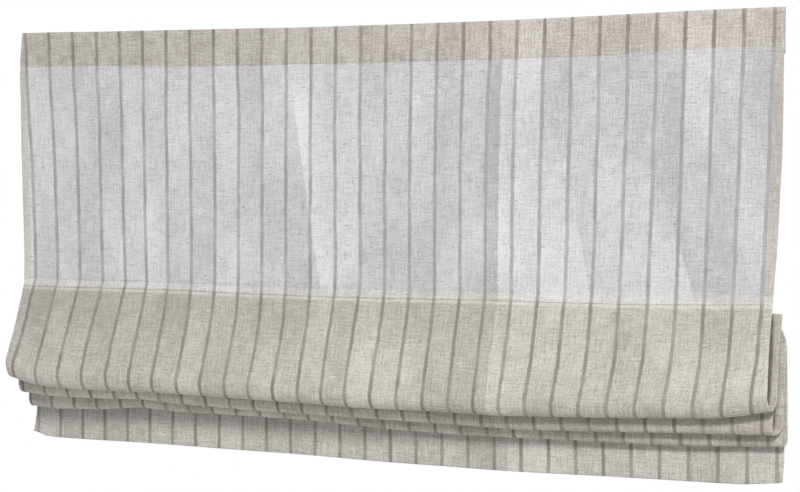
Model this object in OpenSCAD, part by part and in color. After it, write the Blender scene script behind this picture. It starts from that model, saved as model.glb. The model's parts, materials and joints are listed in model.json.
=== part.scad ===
// Roman blind of striped linen, half raised, on a spring-balanced head rail.
// X runs along the blind, the room is on the -Y side, the wall is the plane y = 0,
// and the origin lies midway between the two wall screws.

/* [Cloth] */
// Finished width of the cloth
blind_w = 1000; // [800:10:1400]
// Thickness of one layer of cloth
cloth_t = 0.8; // [0.6:0.05:1]
// Top edge of the cloth to the axis of the first rod
panel_drop = 310; // [250:1:420]
// Height of the doubled band along the top edge
band_h = 45; // [40:1:60]
// Width of the turned hem down each side
side_hem = 11; // [8:1:20]

/* [Folds] */
// How far the front fold hangs below the first rod
fold_drop = 134; // [115:1:170]
// How much lower each fold hangs than the one before it
fold_step = 14; // [10:1:20]
// How far the front fold stands out from the flat cloth
fold_reach = 36; // [32:1:46]
// Radius of the rounded bottom of the front fold
fold_r = 9; // [7.5:0.25:12]
// How much tighter each fold is than the one before it
fold_r_step = 1.5; // [1:0.25:2]
// Air between neighbouring folds
fold_gap = 2; // [1.5:0.25:4]
// Cloth that shows below the last fold
hem_show = 41; // [32:1:60]

/* [Rods and bar] */
// Diameter of a stiffening rod
rod_d = 5; // [4:0.5:6]
// Chamfer on each end of a rod
rod_chamfer = 0.8; // [0.5:0.1:1.2]
// Room round a rod in its pocket
rod_fit = 0.3; // [0.2:0.05:0.5]
// Height of a sewn rod pocket
pocket_h = 12; // [10:0.5:16]
// How much lower each gathered rod hangs than the one before it
rod_step = 16; // [14:0.5:20]
// How much further back each gathered rod lies than the one before it
rod_lean = 4.5; // [4.25:0.25:6]
// Height of the weight bar in the hem
bar_w = 15; // [12:0.5:20]
// Thickness of the weight bar
bar_t = 3; // [2:0.25:4]
// Wall of the caps on the bar's ends
bar_cap_wall = 0.7; // [0.5:0.1:1]
// Length of a cap on the bar's end
bar_cap_l = 12; // [8:1:20]
// Room round the capped bar in the hem
bar_fit = 0.3; // [0.2:0.05:0.6]
// Slack of the hem below the bar, where the cloth sags between the bar's ends
bar_rise = 6; // [3:0.5:9]
// Space from a side hem's inner edge to the end of a rod or bar
end_gap = 12; // [8:0.5:20]

/* [Rings] */
// Wire thickness of a lift ring
ring_wire = 2; // [1.5:0.1:2.5]
// Hole of a lift ring
ring_hole = 8; // [6:0.5:9]
// Clearance between a ring and the pocket that it is sewn to
ring_gap = 0.3; // [0.2:0.05:0.5]
// Side edge of the cloth to the outer column of rings
ring_inset = 150; // [110:5:200]

/* [Head rail] */
// Depth of the rail from wall to room
rail_d = 34; // [32:0.5:42]
// Height of the rail
rail_h = 30; // [29:0.5:38]
// Wall of the rail
rail_t = 1.4; // [1:0.1:1.8]
// Width of the rail's open mouth below
rail_mouth = 20; // [16:0.5:22]
// Outer corner radius of the rail
rail_r = 1.2; // [0.6:0.1:2]
// Distance that the capped rail ends inside the cloth's edge
rail_inset = 16; // [12:1:30]
// Thickness of an end cap's outer plate
cap_t = 2.5; // [2:0.25:4]
// Length of an end cap's plug
cap_plug = 12; // [9:0.5:18]
// Height of the rounded step at an end cap's outer edge
cap_step = 0.8; // [0.4:0.1:1.2]
// Wall of an end cap's hollow plug
plug_wall = 1.8; // [1.4:0.1:2.4]
// Fit of moulded pieces inside the rail
rail_fit = 0.15; // [0.1:0.05:0.3]
// Width of the hook and loop tapes
tape_w = 20; // [16:1:22]
// Thickness of each tape
tape_t = 1.6; // [1.2:0.1:2]

/* [Brackets] */
// Sheet thickness of a bracket
bracket_t = 2; // [1.5:0.1:2.5]
// Length of a bracket along the rail
bracket_w = 28; // [20:1:40]
// Side edge of the cloth to the nearer wall screw
bracket_inset = 100; // [60:5:140]
// Screw hole diameter
screw_d = 4.6; // [4:0.1:5]
// Diameter of the countersink for the screw's head
sink_d = 6.2; // [5.8:0.1:7.5]
// Depth of the bracket's hook over the rail's front edge
hook_h = 5; // [4:0.25:6]
// How far the bracket's ledge reaches under the rail
ledge_l = 6; // [5:0.25:7]
// Drop of the finger tab at the ledge's end
tab_h = 3; // [2:0.25:4]
// Snap clearance between the bracket's hook and the rail
snap_fit = 0.2; // [0.1:0.05:0.3]

/* [Lift drive] */
// Diameter of the lift shaft
shaft_d = 6; // [5:0.25:7]
// Depth of the flat on the shaft
shaft_flat = 0.8; // [0.5:0.1:1.2]
// Clearance of the shaft in the pieces that it turns
shaft_fit = 0.1; // [0.05:0.05:0.15]
// Radial clearance of each bearing
run_fit = 0.06; // [0.03:0.01:0.1]
// Length of the shaft's end in a cap
shaft_grip = 8; // [6:0.5:8.5]
// Diameter of the cord drum at its wide end
drum_d = 15; // [13:0.5:17]
// Taper of the drum over its length
drum_taper = 1; // [0.5:0.1:1.6]
// Length of the drum between its flanges
drum_l = 36; // [26:1:50]
// Diameter of the drum's flanges
flange_d = 22; // [20:0.5:24]
// Thickness of a flange
flange_t = 1.8; // [1.4:0.1:2.5]
// Hole in a flange that takes the cord's knot
knot_d = 2; // [1.5:0.1:2.4]
// Diameter of the hub that turns in the cradle
hub_d = 10; // [9:0.25:11]
// Thickness of a cradle's end walls
cradle_t = 4; // [3:0.25:5]
// Thickness of a cradle's floor
floor_t = 2; // [1.6:0.1:2.5]
// Wall round a cradle's bearing
bearing_wall = 3; // [2.5:0.1:3.2]
// End play of the drum and the hub
end_play = 0.4; // [0.2:0.1:0.6]
// Diameter of the cord hole below each drum
eyelet_d = 6; // [4:0.5:7]
// Length of the spring housing
motor_l = 76; // [50:1:110]
// Length of each of the housing's raised bands
motor_band = 5; // [3:0.5:8]
// How far those bands stand proud
motor_proud = 1; // [0.6:0.1:1.4]
// Height of the spring housing above the shaft
motor_rise = 8.5; // [7.5:0.1:9]
// Collar of the spring's hub outside its housing
collar_d = 14; // [13:0.25:15]
// Thickness of that collar
collar_t = 3; // [2:0.25:4]

/* [Hidden] */
$fn = 48;
FOLDS = 3;
RODS = FOLDS + 1;
ARC_STEP = 12;
COLUMNS = ["left", "middle", "right"];

linen = [0.82, 0.79, 0.74];
white = [0.93, 0.93, 0.91];
steel = [0.74, 0.75, 0.76];

rail_top = rail_h / 2;
rail_back = -bracket_t;
rail_front = rail_back - rail_d;
shaft_y = rail_back - rail_d / 2;
rail_l = blind_w - 2 * (rail_inset + cap_t);
screw_span = blind_w - 2 * bracket_inset;
cloth_top = rail_top + bracket_t;
hook_groove = bracket_t + snap_fit;
groove_h = hook_h + snap_fit;
lip_top = -rail_h / 2 + rail_t;

// The tapes sit behind the band, midway between the bracket's hook and the rail's lower edge
tape_z = (rail_top - groove_h - rail_h / 2) / 2;
hook_y = rail_front - tape_t / 2;
loop_y = hook_y - tape_t;
band_back = rail_front - 2 * tape_t;
panel_y = band_back - 1.5 * cloth_t;

pocket_in = rod_d / 2 + rod_fit;
pocket_out = pocket_in + cloth_t;
rod_l = blind_w - 2 * (side_hem + end_gap);
bend_r = 3;
apex_r = 1.2;

function rod_z(k) = cloth_top - panel_drop - k * rod_step;
function rod_y(k) = panel_y + k * rod_lean + pocket_out;
function loop_r(k) = fold_r - k * fold_r_step;
function loop_z(k) = rod_z(0) - fold_drop - k * fold_step + loop_r(k);
function loop_reach(k) = k == 0
    ? fold_reach - fold_r
    : loop_reach(k - 1) - loop_r(k - 1) - loop_r(k) - fold_gap;
function loop_y_of(k) = panel_y - loop_reach(k);

last = FOLDS - 1;
pocket_top = rod_z(0) + pocket_h / 2;
hem_turn = loop_r(last) + fold_gap;
hem_y = max(loop_y_of(last) + hem_turn, panel_y + FOLDS * rod_lean + 1);
hem_z = rod_z(0) - fold_drop - last * fold_step - hem_show;
cap_w = bar_w + 2 * bar_cap_wall;
cap_d = bar_t + 2 * bar_cap_wall;
sleeve_d = cap_d + 2 * bar_fit;
sleeve_h = cap_w + 2 * bar_fit + bar_rise;
bar_y = hem_y + cloth_t / 2 + sleeve_d / 2;
sleeve_z = hem_z + cloth_t + sleeve_h / 2;
bar_z = sleeve_z + bar_rise / 2;
bar_l = blind_w - 2 * (side_hem + end_gap);

ring_r = (ring_hole + ring_wire) / 2;
column_x = [-blind_w / 2 + ring_inset, 0, blind_w / 2 - ring_inset];

hub_l = flange_t + end_play + cradle_t;
cradle_x = drum_l / 2 + flange_t + end_play + cradle_t / 2;
cradle_l = 2 * cradle_x + cradle_t;
inner_d = rail_d - 2 * rail_t - 2 * rail_fit;
tongue_w = rail_mouth - 4 * rail_fit;
motor_x = column_x[2] / 2;
motor_hub_d = hub_d + 2;

// The cloth's path past the gathered rods, as stops of [y, z, signed radius].
// A positive radius is a fold that hangs, a negative one a turn over a rod.
cloth_stops = concat(
    [[panel_y, pocket_top, 0]],
    [[panel_y - bend_r, rod_z(0) - pocket_h / 2, -bend_r]],
    [for (k = [0:last]) each [
        [loop_y_of(k), loop_z(k), loop_r(k)],
        [panel_y + (k + 1) * rod_lean - apex_r, rod_z(k + 1), -apex_r]
    ]],
    [[hem_y - hem_turn, loop_z(last), -hem_turn]],
    [[hem_y, hem_z, 0]]
);

// Heading of the straight run from stop p to stop q
function heading(p, q) =
    let (d = [q[0] - p[0], q[1] - p[1]])
    atan2(d[1], d[0]) + acos((q[2] - p[2]) / norm(d)) - 90;

// Point of stop p on a run with heading a, moved by e towards the cloth's back
function touch(p, a, e) = [p[0], p[1]] - (p[2] - e) * [cos(a + 90), sin(a + 90)];

// Turn from heading a to heading b, to the left where left is true
function turn(a, b, left) =
    let (d = b - a, t = d - 360 * floor(d / 360))
    left ? t : t - 360;

// The path moved by e towards the cloth's back, with its turns as short chords
function cloth_line(stops, e) =
    let (end = len(stops) - 1)
    [for (i = [0:end])
        let (
            a = heading(stops[max(i - 1, 0)], stops[max(i, 1)]),
            b = i == 0 || i == end ? a : heading(stops[i], stops[i + 1]),
            t = i == 0 || i == end ? 0 : turn(a, b, stops[i][2] > 0),
            n = max(1, ceil(abs(t) / ARC_STEP))
        )
        for (j = [0:(t == 0 ? 0 : n)]) touch(stops[i], a + t * j / n, e)
    ];

function backwards(list) = [for (i = [len(list) - 1:-1:0]) list[i]];

// A section drawn in Y and Z, run along X and centred on it
module along_x(length) {
    rotate([90, 0, 90]) linear_extrude(length, center = true) children();
}

module at(y, z) {
    translate([y, z]) children();
}

// A rectangle between two corners
module span(y0, z0, y1, z1) {
    translate([y0, z0]) square([y1 - y0, z1 - z0]);
}

module soft_square(w, h, r) {
    square([w - 2 * r, h], center = true);
    square([w, h - 2 * r], center = true);
    for (y = [-1, 1], z = [-1, 1]) at(y * (w / 2 - r), z * (h / 2 - r)) circle(r);
}

// The rail's outline drawn in by e, with the step that takes the bracket's hook
module rail_outline(e) {
    difference() {
        at(shaft_y, 0) soft_square(rail_d - 2 * e, rail_h - 2 * e, rail_r);
        span(rail_front - 1, rail_top - groove_h - e, rail_front + hook_groove + e, rail_top + 1);
    }
}

// The space inside the rail, drawn in by e all round
module rail_space(e) {
    wall = rail_t + e;
    difference() {
        span(rail_front + wall, -rail_h / 2 + wall, rail_back - wall, rail_top - wall);
        span(rail_front, rail_top - groove_h - wall, rail_front + hook_groove + wall, rail_top);
    }
}

module d_section(diameter) {
    reach = diameter / 2 - shaft_flat;
    intersection() {
        circle(d = diameter);
        span(-diameter, -diameter, diameter, reach);
    }
}

module head_rail() {
    color(white) along_x(rail_l) difference() {
        rail_outline(0);
        rail_space(0);
        span(shaft_y - rail_mouth / 2, -rail_h, shaft_y + rail_mouth / 2, 0);
    }
}

// Hollow plug of an end cap: a wall, a boss for the shaft and four ribs
module plug_section() {
    boss_r = shaft_d / 2 + run_fit + plug_wall;
    difference() {
        rail_space(rail_fit);
        rail_space(rail_fit + plug_wall);
    }
    intersection() {
        rail_space(rail_fit);
        at(shaft_y, 0) {
            circle(boss_r);
            square([rail_d, plug_wall], center = true);
            square([plug_wall, rail_h], center = true);
        }
    }
}

// End cap on the side s of the rail, with a blind bearing for the shaft
module rail_cap(s) {
    plug_x = s * (rail_l - cap_plug) / 2;
    plate_x = s * (rail_l + cap_t - cap_step) / 2;
    color(white) difference() {
        union() {
            translate([plate_x, 0, 0]) along_x(cap_t - cap_step) rail_outline(0);
            translate([plate_x + s * cap_t / 2, 0, 0]) along_x(cap_step) rail_outline(cap_step);
            translate([plug_x, 0, 0]) along_x(cap_plug) plug_section();
        }
        translate([plug_x - s * (cap_plug - shaft_grip) / 2, shaft_y, 0])
            rotate([0, 90, 0]) cylinder(h = shaft_grip, d = shaft_d + 2 * run_fit, center = true);
    }
}

// Bend of the bracket's sheet round the corner at y, z, towards dy, dz
module bend(y, z, dy, dz) {
    at(y, z) intersection() {
        circle(bracket_t);
        at(dy * bracket_t / 2, dz * bracket_t / 2) square(bracket_t, center = true);
    }
}

module bracket_section() {
    foot = -rail_h / 2 - bracket_t;
    ledge_end = -bracket_t - ledge_l;
    span(-bracket_t, -rail_h / 2, 0, rail_top);
    bend(-bracket_t, rail_top, 1, 1);
    span(rail_front + bracket_t, rail_top, -bracket_t, cloth_top);
    bend(rail_front + bracket_t, rail_top, -1, 1);
    span(rail_front, rail_top - hook_h, rail_front + bracket_t, rail_top);
    bend(-bracket_t, -rail_h / 2, 1, -1);
    span(ledge_end, foot, -bracket_t, -rail_h / 2);
    span(ledge_end, foot - tab_h, ledge_end + bracket_t, foot);
}

module bracket(s) {
    color(steel) translate([s * screw_span / 2, 0, 0]) difference() {
        along_x(bracket_w) bracket_section();
        rotate([90, 0, 0]) cylinder(h = 3 * bracket_t, d = screw_d, center = true);
        translate([0, -bracket_t / 2, 0]) rotate([90, 0, 0])
            cylinder(h = bracket_t / 2, d1 = screw_d, d2 = sink_d);
    }
}

module tape(y) {
    color(white) along_x(rail_l) at(y, tape_z) square([tape_t, tape_w], center = true);
}

module hook_tape() {
    tape(hook_y);
}

module loop_tape() {
    tape(loop_y);
}

// The flat cloth from its top edge to the first rod pocket
module upper_panel() {
    front = panel_y - cloth_t / 2;
    color(linen) {
        along_x(blind_w) {
            span(front, pocket_top, front + cloth_t, cloth_top);
            span(front, cloth_top - band_h, band_back, cloth_top);
        }
        for (s = [-1, 1]) translate([s * (blind_w - side_hem) / 2, 0, 0])
            along_x(side_hem) span(front, pocket_top, band_back, cloth_top);
    }
}

module cloth_layer(from, to) {
    polygon(concat(cloth_line(cloth_stops, from), backwards(cloth_line(cloth_stops, to))));
}

module rod_pocket(k) {
    at(rod_y(k), rod_z(k)) difference() {
        circle(pocket_out);
        circle(pocket_in);
    }
}

module hem_sleeve() {
    front = hem_y - cloth_t / 2;
    difference() {
        span(front, hem_z, front + sleeve_d + 2 * cloth_t, hem_z + sleeve_h + 2 * cloth_t);
        at(bar_y, sleeve_z) square([sleeve_d, sleeve_h], center = true);
    }
}

// The gathered cloth: rod pockets, hanging folds, side hems and the hem for the weight bar
module folded_panel() {
    back = cloth_t / 2;
    color(linen) {
        along_x(blind_w) cloth_layer(-back, back);
        for (k = [0:RODS - 1]) along_x(blind_w) rod_pocket(k);
        along_x(blind_w) hem_sleeve();
        for (s = [-1, 1]) translate([s * (blind_w - side_hem) / 2, 0, 0])
            along_x(side_hem) cloth_layer(-back, back + cloth_t);
    }
}

module rod(k) {
    tip = rod_d - 2 * rod_chamfer;
    color(white) translate([0, rod_y(k), rod_z(k)]) rotate([0, 90, 0]) {
        cylinder(h = rod_l - 2 * rod_chamfer, d = rod_d, center = true);
        for (s = [0, 180]) rotate([s, 0, 0])
            translate([0, 0, rod_l / 2 - rod_chamfer]) cylinder(h = rod_chamfer, d1 = rod_d, d2 = tip);
    }
}

// Ring sewn behind pocket k in column c, lying flat so that a cord could run down through it
module lift_ring(k, c) {
    reach = pocket_out + ring_gap + ring_r + ring_wire / 2;
    color(white) translate([column_x[c], rod_y(k) + reach, rod_z(k)])
        rotate_extrude() at(ring_r, 0) circle(d = ring_wire);
}

module bottom_bar() {
    color(steel) along_x(bar_l - 2 * bar_cap_wall)
        at(bar_y, bar_z) square([bar_t, bar_w], center = true);
}

module bar_cap(s) {
    color(white) translate([s * (bar_l - bar_cap_l) / 2, 0, 0]) difference() {
        along_x(bar_cap_l) at(bar_y, bar_z) soft_square(cap_d, cap_w, bar_cap_wall);
        translate([-s * bar_cap_wall, 0, 0]) along_x(bar_cap_l)
            at(bar_y, bar_z) square([bar_t, bar_w], center = true);
    }
}

// Bearing wall of a cradle, open above so that the drum's hub snaps in
module bearing_wall_section() {
    ear = hub_d / 2 + bearing_wall;
    bore = hub_d + 2 * run_fit;
    difference() {
        union() {
            circle(ear);
            span(-ear, lip_top, ear, 0);
        }
        circle(d = bore);
        span(-bore * 0.42, 0, bore * 0.42, ear + 1);
    }
}

module cradle(x) {
    color(white) translate([x, shaft_y, 0]) difference() {
        union() {
            for (s = [-1, 1]) translate([s * cradle_x, 0, 0]) along_x(cradle_t) bearing_wall_section();
            along_x(cradle_l) span(-inner_d / 2, lip_top, inner_d / 2, lip_top + floor_t);
            along_x(cradle_l) span(-tongue_w / 2, lip_top - rail_t, tongue_w / 2, lip_top + floor_t);
        }
        translate([0, 0, lip_top]) cylinder(h = 4 * (rail_t + floor_t), d = eyelet_d, center = true);
    }
}

// Half of the drum's outline, from its narrow end to its wide end
module drum_section() {
    edge = drum_l / 2 + flange_t;
    tip = edge + end_play + cradle_t;
    polygon([
        [0, -tip], [hub_d / 2, -tip], [hub_d / 2, -edge],
        [flange_d / 2, -edge], [flange_d / 2, -drum_l / 2],
        [drum_d / 2 - drum_taper, -drum_l / 2], [drum_d / 2, drum_l / 2],
        [flange_d / 2, drum_l / 2], [flange_d / 2, edge],
        [hub_d / 2, edge], [hub_d / 2, tip], [0, tip]
    ]);
}

module cord_spool(x) {
    color(white) translate([x, shaft_y, 0]) difference() {
        rotate([0, 90, 0]) rotate_extrude() drum_section();
        along_x(2 * drum_l + 8 * hub_l) d_section(shaft_d + 2 * shaft_fit);
        translate([drum_l / 2 + flange_t / 2, 0, (drum_d + flange_d) / 4])
            rotate([0, 90, 0]) cylinder(h = 2 * flange_t, d = knot_d, center = true);
    }
}

module lift_shaft() {
    length = rail_l - 2 * (cap_plug - shaft_grip) - 2 * end_play;
    color(steel) along_x(length) at(shaft_y, 0) d_section(shaft_d);
}

// Section of the spring housing, drawn in by e
module motor_section(e) {
    span(-inner_d / 2 + e, lip_top, inner_d / 2 - e, 0);
    span(-motor_hub_d + e, 0, motor_hub_d - e, motor_rise - e);
}

// Closed spring housing that stands on the rail's lips, with the hub's bearing through it
module spring_motor() {
    band_x = (motor_l - motor_band) / 2;
    color(white) translate([motor_x, shaft_y, 0]) difference() {
        union() {
            along_x(motor_l) motor_section(motor_proud);
            for (x = [-band_x, 0, band_x])
                translate([x, 0, 0]) along_x(motor_band) motor_section(0);
            along_x(motor_l) span(-tongue_w / 2, lip_top - rail_t, tongue_w / 2, 0);
        }
        rotate([0, 90, 0])
            cylinder(h = 2 * motor_l, d = motor_hub_d + 2 * run_fit, center = true);
    }
}

module motor_hub() {
    collar_x = motor_l / 2 + end_play + collar_t / 2;
    color(steel) translate([motor_x, shaft_y, 0]) difference() {
        union() {
            rotate([0, 90, 0]) cylinder(h = motor_l + 2 * end_play, d = motor_hub_d, center = true);
            for (s = [-1, 1]) translate([s * collar_x, 0, 0])
                rotate([0, 90, 0]) cylinder(h = collar_t, d = collar_d, center = true);
        }
        along_x(2 * motor_l) d_section(shaft_d + 2 * shaft_fit);
    }
}

head_rail();
rail_cap(-1);  // rail_cap_left
rail_cap(1);  // rail_cap_right
bracket(-1);  // bracket_left
bracket(1);  // bracket_right
hook_tape();
loop_tape();
upper_panel();
for (c = [0:2]) {
    cradle(column_x[c]);
    cord_spool(column_x[c]);
}
spring_motor();
lift_shaft();
motor_hub();
folded_panel();
for (k = [0:RODS - 1]) {
    rod(k);
    for (c = [0:2])
        lift_ring(k, c);
}
bottom_bar();
bar_cap(-1);  // bar_cap_left
bar_cap(1);  // bar_cap_right
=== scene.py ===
# %% [markdown]
# # A striped linen roman blind, half raised
# The blind is one sewn cloth on a spring-balanced rail.
# The frame from the solids gives every hard piece its place and size.
# This lesson adds what solids can't show: cloth that hangs unevenly, sewn edges and finishes.

# %% Load the frame
import json
import math

import bmesh
import bpy
import numpy as np
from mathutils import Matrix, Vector


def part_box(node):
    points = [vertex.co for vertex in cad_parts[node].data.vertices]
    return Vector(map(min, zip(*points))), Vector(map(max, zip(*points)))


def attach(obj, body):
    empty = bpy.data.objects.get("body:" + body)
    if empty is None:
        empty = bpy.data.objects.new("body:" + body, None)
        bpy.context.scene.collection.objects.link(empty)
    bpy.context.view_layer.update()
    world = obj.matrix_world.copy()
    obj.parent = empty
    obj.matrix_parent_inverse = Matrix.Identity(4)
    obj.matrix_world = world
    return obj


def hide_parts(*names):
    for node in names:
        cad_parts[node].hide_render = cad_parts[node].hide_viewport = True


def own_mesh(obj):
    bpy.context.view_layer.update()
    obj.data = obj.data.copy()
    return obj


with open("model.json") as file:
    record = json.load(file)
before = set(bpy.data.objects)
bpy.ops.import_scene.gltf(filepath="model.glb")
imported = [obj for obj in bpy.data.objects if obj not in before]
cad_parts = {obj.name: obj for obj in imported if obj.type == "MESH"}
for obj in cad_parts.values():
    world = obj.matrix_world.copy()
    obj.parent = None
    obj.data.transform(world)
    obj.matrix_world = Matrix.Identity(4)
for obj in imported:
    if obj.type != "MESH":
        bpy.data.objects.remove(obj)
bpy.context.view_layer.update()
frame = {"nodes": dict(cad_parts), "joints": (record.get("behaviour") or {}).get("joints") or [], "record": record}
nodes = frame["nodes"]

# %% [markdown]
# ## The view
# The picture was taken from the right, a little below the middle of the cloth.
# A camera could be moved by eye until the edges fit, but the stripes give a surer way.
# The place was worked out from the slope of the top edge, the seam and the stripes,
# and a long lens there keeps the stripes nearly parallel, as they are in the picture.

# %% Camera
MM = 0.001
PICTURE_W = 800
FOCAL_PX = 2276.0
CAMERA_AWAY = 2.658
CAMERA_SIDE = math.radians(28.0)
CAMERA_YAW = math.radians(27.24)
CAMERA_PITCH = math.radians(1.67)
CAMERA_DROP = 0.1798
SOLID_HALF_T = 0.4 * MM

panel_low, panel_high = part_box("upper_panel")
cloth_top = panel_high.z
panel_y = panel_low.y + SOLID_HALF_T

lens = bpy.data.cameras.new("picture_camera")
lens.lens = FOCAL_PX / PICTURE_W * lens.sensor_width
camera = bpy.data.objects.new("picture_camera", lens)
camera.location = (
    CAMERA_AWAY * math.sin(CAMERA_SIDE),
    panel_y - CAMERA_AWAY * math.cos(CAMERA_SIDE),
    cloth_top - CAMERA_DROP,
)
camera.rotation_euler = (math.radians(90) - CAMERA_PITCH, 0, CAMERA_YAW)
bpy.context.scene.collection.objects.link(camera)
bpy.context.scene.camera = camera
print("lens", round(lens.lens, 1), "mm at", [round(v, 2) for v in camera.location])

# %% [markdown]
# ## Shader maths as plain expressions
# Each finish is a small sum: a ground colour, a stripe, some uneven yarn.
# Wiring dozens of nodes by hand hides that sum.
# One small class keeps a socket and lets Python's own operators add the nodes.

# %% Shader class
class Tone:
    """A socket of one material. Operators on it add Math nodes."""

    def __init__(self, tree, socket=None):
        self.tree = tree
        self.socket = socket

    def make(self, kind, inputs, out=0, **settings):
        """Any node: its type and settings, and the values or links of its sockets."""
        node = self.tree.nodes.new(kind)
        for name, value in settings.items():
            setattr(node, name, value)
        for key, value in inputs.items():
            if isinstance(value, Tone):
                self.tree.links.new(value.socket, node.inputs[key])
            else:
                node.inputs[key].default_value = value
        return Tone(self.tree, node.outputs[out])

    def maths(self, operation, a, b=0.0):
        return self.make("ShaderNodeMath", {0: a, 1: b}, operation=operation)

    def __add__(self, other):
        return self.maths("ADD", self, other)

    def __radd__(self, other):
        return self.maths("ADD", other, self)

    def __sub__(self, other):
        return self.maths("SUBTRACT", self, other)

    def __rsub__(self, other):
        return self.maths("SUBTRACT", other, self)

    def __mul__(self, other):
        return self.maths("MULTIPLY", self, other)

    def __rmul__(self, other):
        return self.maths("MULTIPLY", other, self)

    def __abs__(self):
        return self.maths("ABSOLUTE", self)


print("shader class ready")

# %% [markdown]
# ## Small shader helpers
# Every finish below uses the same few things: noise, a soft step and a blend of two colours.
# Short functions keep those lines readable.

# %% Shader helpers
def srgb(r, g, b):
    """A screen colour from 0 to 255 as the linear colour that a shader takes."""
    def linear(c):
        c /= 255
        return c / 12.92 if c <= 0.04045 else ((c + 0.055) / 1.055) ** 2.4
    return (linear(r), linear(g), linear(b), 1.0)


def start_material(name):
    """A new material, its shader node and a Tone to start expressions from."""
    material = bpy.data.materials.new(name)
    material.use_nodes = True
    shader = material.node_tree.nodes["Principled BSDF"]
    return material, shader, Tone(material.node_tree)


def feed(shader, name, tone):
    """A link from a tone to one of the shader's sockets."""
    tone.tree.links.new(tone.socket, shader.inputs[name])


def noise(spot, scale, detail=2.0):
    return spot.make("ShaderNodeTexNoise", {"Vector": spot, "Scale": scale, "Detail": detail})


def between(value, low, high, kind="SMOOTHSTEP"):
    """0 below low, 1 above high and a step between them."""
    limits = {"Value": value, "From Min": low, "From Max": high}
    return value.make("ShaderNodeMapRange", limits, interpolation_type=kind)


def window(value, rise, fall):
    """1 between two soft steps, each given as the two places where it starts and ends."""
    return between(value, *rise) * (1 - between(value, *fall))


def mix(share, first, second):
    """The first colour where share is 0, the second where it is 1."""
    colours = {"Factor": share, 6: first, 7: second}
    return share.make("ShaderNodeMix", colours, out=2, data_type="RGBA")


print("a screen grey of 128 is", round(srgb(128, 128, 128)[0], 3), "to a shader")

# %% [markdown]
# ## The linen's own map
# The cloth is a plain weave of uneven flax yarn with a thin grey stripe every few centimetres.
# A pattern on Object coordinates would cut straight through the folds.
# The cloth's own map follows it round them: one map unit is one metre of cloth,
# across and along, so yarn and stripes can be given in real sizes.

# %% Cloth map and yarn
striped_linen, linen_shader, linen = start_material("striped_linen")
cloth_map = linen.make("ShaderNodeUVMap", {}, uv_map="cloth")
across = linen.make("ShaderNodeSeparateXYZ", {0: cloth_map}, out=0)
along = linen.make("ShaderNodeSeparateXYZ", {0: cloth_map}, out=1)


def yarn(u_scale, v_scale, detail=2.0):
    """Noise with so many cells to a metre across and along the cloth."""
    spot = linen.make("ShaderNodeCombineXYZ", {0: across * u_scale, 1: along * v_scale})
    return noise(spot, 1.0, detail)


warp = yarn(520, 40)
weft = yarn(44, 480)
grain = yarn(400, 430, 3.0)
blotch = yarn(60, 70)
patch = yarn(13, 6, 3.0)
print("yarn: warp, weft, grain, blotches and patches")

# %% [markdown]
# ## Zones of the cloth
# One layer of linen lets the white wall shine through, so the flat panel is paler and cooler.
# The doubled band, the front fold and the folds behind it are warmer and darker; the lower folds hold painted
# shade too.
# A translucent shader would need that wall behind it. Zones along the map give the look at once,
# and each colour then takes four values: band, panel, front fold and lower folds.

# %% Zones and their colours
BAND = 45 * MM
POCKET_V = 308.8 * MM
STITCH_V = 318.4 * MM
FRONT_END = (410 * MM, 450 * MM)
HEM_START = (1170 * MM, 1210 * MM)
LINE_LIFT = 1.2
LINE_LIFT_LEFT = 2
LINE_LIFT_RIGHT = 3
LEFT_PART = (0.10, 0.28)
RIGHT_PART = (0.76, 0.90)

# The band's lower line lies a little above the band's full height, most of all at both ends.
lift_left = LINE_LIFT_LEFT * (1 - between(across, *LEFT_PART))
taken_up = LINE_LIFT + lift_left + LINE_LIFT_RIGHT * between(across, *RIGHT_PART)
in_band = 1 - between(along + taken_up * MM, BAND - 1.5 * MM, BAND + 2 * MM)
in_fold = between(along, STITCH_V - 3 * MM, STITCH_V)
single = 1 - in_band - in_fold
past_front = between(along, *FRONT_END)
in_low = past_front * (1 - between(along, *HEM_START))


def zoned(band, panel, fold, low):
    """One colour for each zone, where the hem takes the colour of the front fold."""
    gathered = mix(in_low, srgb(*fold), srgb(*low))
    return mix(in_band, mix(in_fold, srgb(*panel), gathered), srgb(*band))


# The panel's paler, cooler colours stand in for light shining through it; the lower folds' colours are painted
# shade.
ground = zoned((225, 218, 212), (238, 236, 238), (224, 220, 214), (224, 219, 210))
shade = zoned((173, 165, 158), (190, 188, 187), (176, 171, 164), (173, 166, 156))
stripe = zoned((142, 136, 126), (168, 168, 167), (146, 142, 130), (142, 136, 125))
print("zones meet at", [round(v / MM) for v in (BAND, STITCH_V, *FRONT_END, *HEM_START)], "mm")

# %% [markdown]
# ## Stripes
# The stripes are woven in: a few grey yarns side by side, with ragged edges.
# They could be modelled as thin strips, but a woven stripe has no height.
# The distance to the nearest stripe's middle gives one mask for all of them.

# %% Stripe mask
CLOTH_W = 1000 * MM
REPEATS = 29.72
STRIPE_PITCH = CLOTH_W / REPEATS
STRIPE_EDGE = 0.36 * STRIPE_PITCH
STRIPE_FULL = 1.6 * MM
STRIPE_GONE = 2.9 * MM
STRIPE_WANDER = 3 * MM
STRIPE_RAGGED = 2.4 * MM
STRIPE_FAINT = 0.60
STRIPE_FULLER = 0.36
STRIPE_GRAIN = 0.9

wander = (yarn(9, 14, 1.0) - 0.5) * STRIPE_WANDER
place = (across + wander - STRIPE_EDGE) * (1 / STRIPE_PITCH) + 0.5
offset = abs(place.maths("FRACT", place) - 0.5) * STRIPE_PITCH
uneven = offset + (yarn(380, 130) - 0.5) * STRIPE_RAGGED
line = 1 - between(uneven, STRIPE_FULL, STRIPE_GONE)
fade = STRIPE_FAINT + STRIPE_FULLER * between(yarn(40, 22), 0.35, 0.65) + (grain - 0.5) * STRIPE_GRAIN
print("stripes:", round(REPEATS), "of them,", round(STRIPE_PITCH / MM, 2), "mm apart")
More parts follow.
